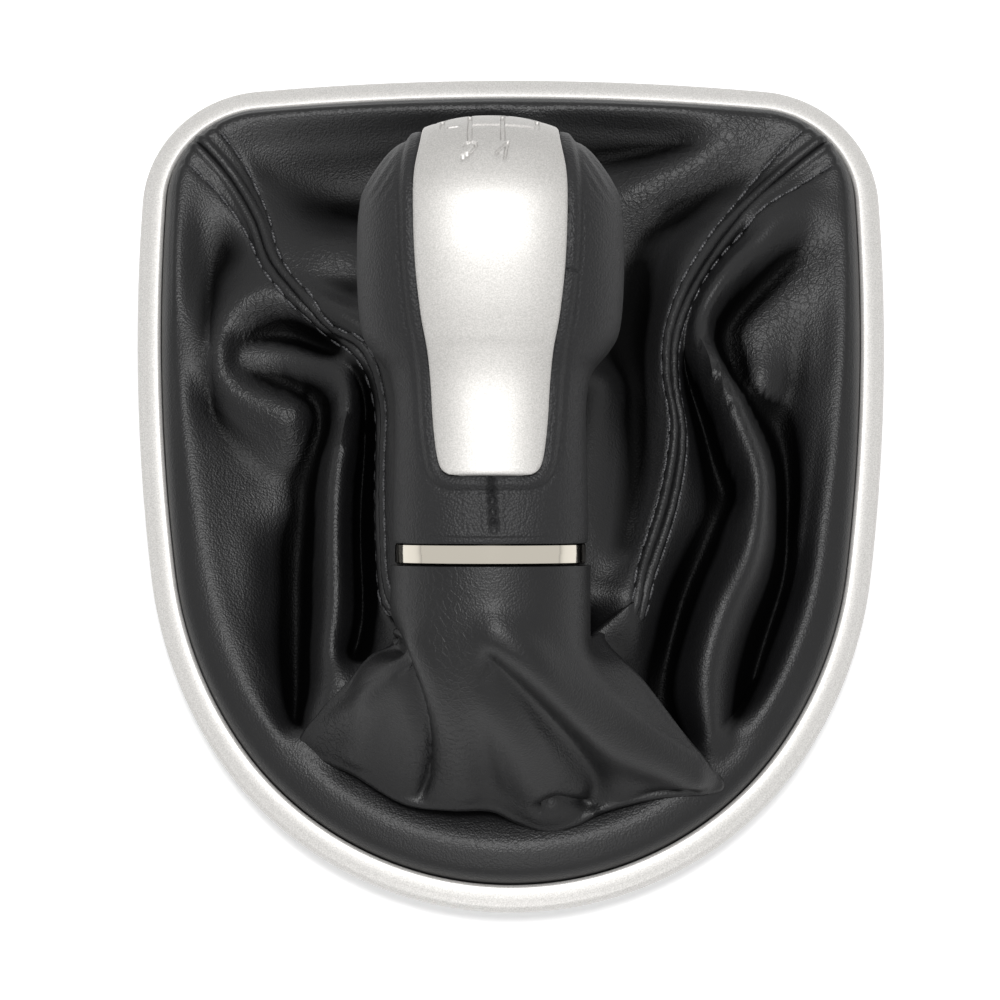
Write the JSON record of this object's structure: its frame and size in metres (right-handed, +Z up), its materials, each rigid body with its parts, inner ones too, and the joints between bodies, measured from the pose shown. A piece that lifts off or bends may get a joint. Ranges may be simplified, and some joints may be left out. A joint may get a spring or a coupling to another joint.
{
  "type": "gear shift knob",
  "caption": "Car gear shift knob with a satin insert and leather grip, on a folded leather gaiter in a silver console trim frame.",
  "frame": {"origin": "centre of the trim frame in plan, at the level of the clip legs' tips", "axes": "+Y to the car's front, the way the laid-over knob points; +X to the car's right; +Z up out of the console"},
  "size_m": [0.1522, 0.1732, 0.0814],
  "materials": {
    "satin_silver": "satin",
    "chrome": "polished",
    "gaiter_leather": "pebbled, semi-matte",
    "grip_leather": "fine grain, matte",
    "black_plastic": "moulded matte",
    "zinc_steel": "zinc plated",
    "spring_steel": "bright"
  },
  "bodies": {
    "frame": {"bezel": "satin_silver", "gaiter_carrier": "black_plastic", "gaiter_hem": "gaiter_leather", "hem_staples": "zinc_steel", "clip_front_left": "spring_steel", "clip_front_right": "spring_steel", "clip_left": "spring_steel", "clip_right": "spring_steel", "clip_rear_left": "spring_steel", "clip_rear_right": "spring_steel"},
    "gaiter": {"front_panel": "gaiter_leather", "rear_panel": "gaiter_leather"},
    "knob": {"knob_core": "black_plastic", "grip_cover": "grip_leather", "insert": "satin_silver", "collar_ring": "chrome", "lever_sleeve": "zinc_steel", "gaiter_holder": "black_plastic", "neck_tie": "black_plastic", "sleeve_clamp": "spring_steel"}
  },
  "joints": [
    {"name": "sway", "type": "hinge", "parent": "frame", "child": "gaiter", "pos_m": [-0.004, -0.04, 0.04], "axis": [0, 1, 0], "range_deg": [-12, 12], "deforming": ["front_panel", "rear_panel"]},
    {"name": "tilt", "type": "hinge", "parent": "gaiter", "child": "knob", "pos_m": [-0.004, -0.04, 0.04], "axis": [1, 0, 0], "range_deg": [0, 60], "deforming": ["front_panel", "rear_panel"]}
  ]
}
